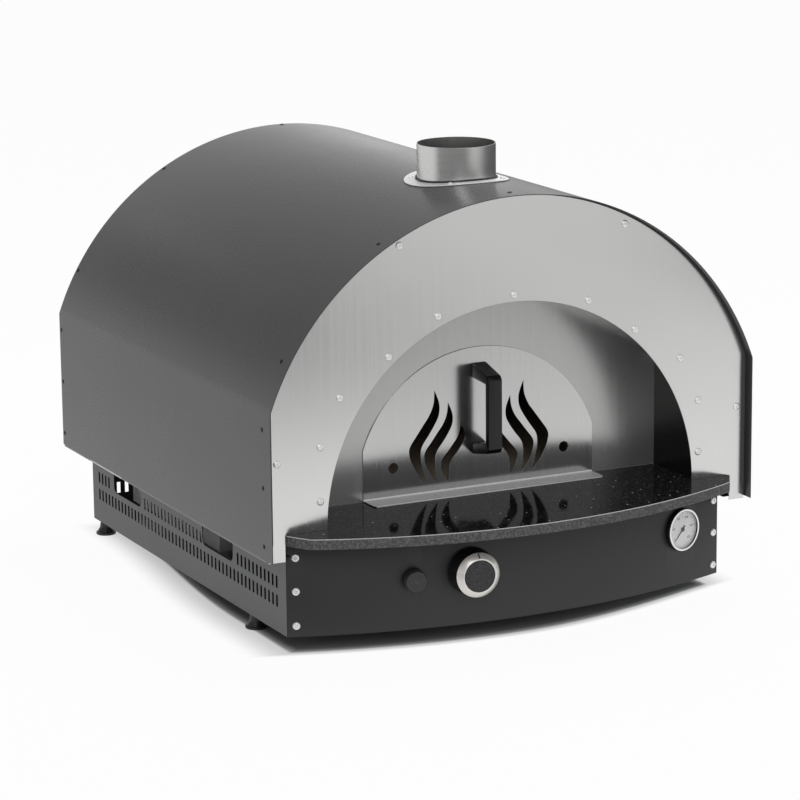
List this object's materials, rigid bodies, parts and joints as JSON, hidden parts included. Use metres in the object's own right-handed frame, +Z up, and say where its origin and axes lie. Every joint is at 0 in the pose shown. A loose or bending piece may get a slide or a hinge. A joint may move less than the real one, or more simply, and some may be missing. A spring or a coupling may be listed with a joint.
{
  "type": "pizza oven",
  "caption": "Countertop gas pizza oven with a barrel-vault casing, plug door with flame cut-outs, granite shelf, bowed control panel and slotted base.",
  "frame": {"origin": "centre of the overall box, on the surface that the feet stand on", "axes": "+X to the oven's right as seen from the front, +Y to the back, +Z up; the mouth faces -Y"},
  "size_m": [1, 1.1708, 0.8726],
  "materials": {
    "shell_paint": "satin",
    "panel_paint": "satin",
    "base_paint": "satin",
    "brushed_stainless": "brushed",
    "galvanised_sheet": "dull",
    "chrome": "polished",
    "brass": "machined",
    "copper_tube": "drawn",
    "granite": "polished",
    "black_plastic": "gloss",
    "handle_paint": "gloss",
    "lead_sleeve": "matte",
    "hearth_stone": "rough",
    "insulating_board": "matte",
    "fibre_blanket": "matte",
    "ceramic": "fired",
    "dial_face": "matte",
    "dial_glass": "clear",
    "needle_paint": "matte"
  },
  "bodies": {
    "casing": {"shell_skin": "shell_paint", "rear_panel": "base_paint", "face_plate": "brushed_stainless", "front_frame": "base_paint", "throat_liner": "brushed_stainless", "mouth_plate": "brushed_stainless", "deck_plate": "galvanised_sheet", "vault_lining": "brushed_stainless", "vault_blanket": "fibre_blanket", "chamber_back_wall": "brushed_stainless", "floor_insulation": "insulating_board", "hearth_tray": "galvanised_sheet", "hearth_stone_1": "hearth_stone", "hearth_stone_2": "hearth_stone", "hearth_stone_3": "hearth_stone", "hearth_stone_4": "hearth_stone", "hearth_side_stone": "hearth_stone", "burner_box": "brushed_stainless", "burner_tube": "brushed_stainless", "burner_guard": "brushed_stainless", "gas_jet": "brass", "supply_pipe": "copper_tube", "burner_pipe": "copper_tube", "gas_valve": "brass", "gas_inlet": "brass", "ignition_electrode": "ceramic", "flame_sensor": "ceramic", "ignition_lead": "lead_sleeve", "piezo_body": "galvanised_sheet", "igniter_collar": "black_plastic", "thermometer_case": "brushed_stainless", "thermometer_bezel": "brushed_stainless", "thermometer_dial": "dial_face", "thermometer_glass": "dial_glass", "thermometer_capillary": "copper_tube", "control_panel": "panel_paint", "granite_shelf": "granite", "shelf_bracket_left": "galvanised_sheet", "shelf_bracket_right": "galvanised_sheet", "base_side_left": "base_paint", "base_side_right": "base_paint", "base_rear_panel": "base_paint", "base_floor": "galvanised_sheet", "cross_rail_front": "galvanised_sheet", "cross_rail_rear": "galvanised_sheet", "flue_pipe": "brushed_stainless", "flue_flange": "brushed_stainless"},
    "door": {"door_plate": "brushed_stainless", "door_handle": "handle_paint"},
    "valve_stem": {"valve_plunger": "brass"},
    "gas_knob": {"knob_skirt": "black_plastic", "knob_ring": "chrome", "knob_cap": "black_plastic", "valve_spindle": "brushed_stainless"},
    "spark_button": {"igniter_button": "black_plastic"},
    "needle": {"thermometer_needle": "needle_paint"},
    "foot_front_left_body": {"foot_front_left": "black_plastic"},
    "foot_front_right_body": {"foot_front_right": "black_plastic"},
    "foot_rear_left_body": {"foot_rear_left": "black_plastic"},
    "foot_rear_right_body": {"foot_rear_right": "black_plastic"}
  },
  "joints": [
    {"name": "door_pull", "type": "slide", "parent": "casing", "child": "door", "axis": [0, -1, 0], "range_m": [0, 0.3]},
    {"name": "knob_push", "type": "slide", "parent": "casing", "child": "valve_stem", "axis": [0.096, 0.9954, 0], "range_m": [0, 0.004], "stiffness_N_per_m": 800, "springref_m": -0.004},
    {"name": "knob_turn", "type": "hinge", "parent": "valve_stem", "child": "gas_knob", "pos_m": [-0.1213, -0.49426, 0.1324], "axis": [-0.096, -0.9954, 0], "range_deg": [0, 210]},
    {"name": "igniter_press", "type": "slide", "parent": "casing", "child": "spark_button", "axis": [0.1818, 0.9833, 0], "range_m": [0, 0.005], "stiffness_N_per_m": 500, "springref_m": -0.004},
    {"name": "needle_turn", "type": "hinge", "parent": "casing", "child": "needle", "pos_m": [0.3519, -0.45011, 0.1378], "axis": [-0.2785, 0.9604, 0], "range_deg": [0, 270], "stiffness_Nm_per_rad": 0.002},
    {"name": "foot_front_left_screw", "type": "slide", "parent": "casing", "child": "foot_front_left_body", "axis": [0, 0, -1], "range_m": [0, 0.012]},
    {"name": "foot_front_right_screw", "type": "slide", "parent": "casing", "child": "foot_front_right_body", "axis": [0, 0, -1], "range_m": [0, 0.012]},
    {"name": "foot_rear_left_screw", "type": "slide", "parent": "casing", "child": "foot_rear_left_body", "axis": [0, 0, -1], "range_m": [0, 0.012]},
    {"name": "foot_rear_right_screw", "type": "slide", "parent": "casing", "child": "foot_rear_right_body", "axis": [0, 0, -1], "range_m": [0, 0.012]}
  ]
}
